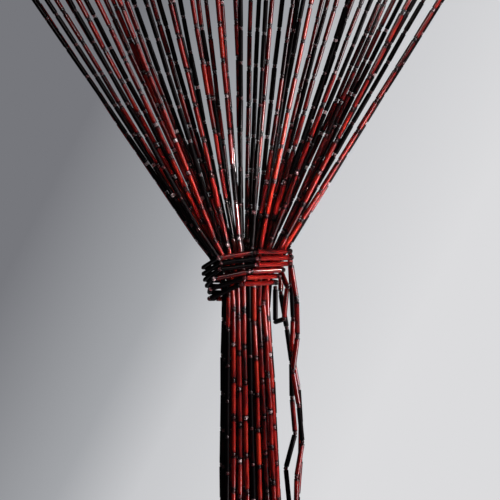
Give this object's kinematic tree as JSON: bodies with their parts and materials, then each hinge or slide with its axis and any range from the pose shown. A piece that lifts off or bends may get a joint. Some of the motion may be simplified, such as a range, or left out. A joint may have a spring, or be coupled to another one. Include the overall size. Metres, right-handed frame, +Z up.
{
  "type": "tied bead curtain with header",
  "caption": "Hanging curtain of slim lacquered bead strands on a flat header, fanned in to the waist and bound there by a tie of bead strands with loose tails.",
  "frame": {"origin": "middle of the header's top face, where the curtain is fixed up", "axes": "+X along the header to the right as seen from the front, +Y away from the front, +Z up"},
  "size_m": [0.9, 0.0587, 1.9737],
  "materials": {
    "lacquered_bamboo": "bamboo tube beads dyed red-brown to near black and lacquered, glossy",
    "lacquered_spacer": "small turned wooden spacer beads in dark maroon lacquer, glossy",
    "header_wood": "stained and lacquered softwood batten, satin",
    "bead_thread": "twisted dark red-brown polyester bead thread, matt"
  },
  "bodies": {
    "root": {"header_and_strands": "lacquered_bamboo", "tie_strand_upper": "lacquered_bamboo", "tie_strand_middle": "lacquered_bamboo", "tie_strand_lower": "lacquered_bamboo", "tie_end_loop": "lacquered_bamboo"}
  },
  "joints": []
}
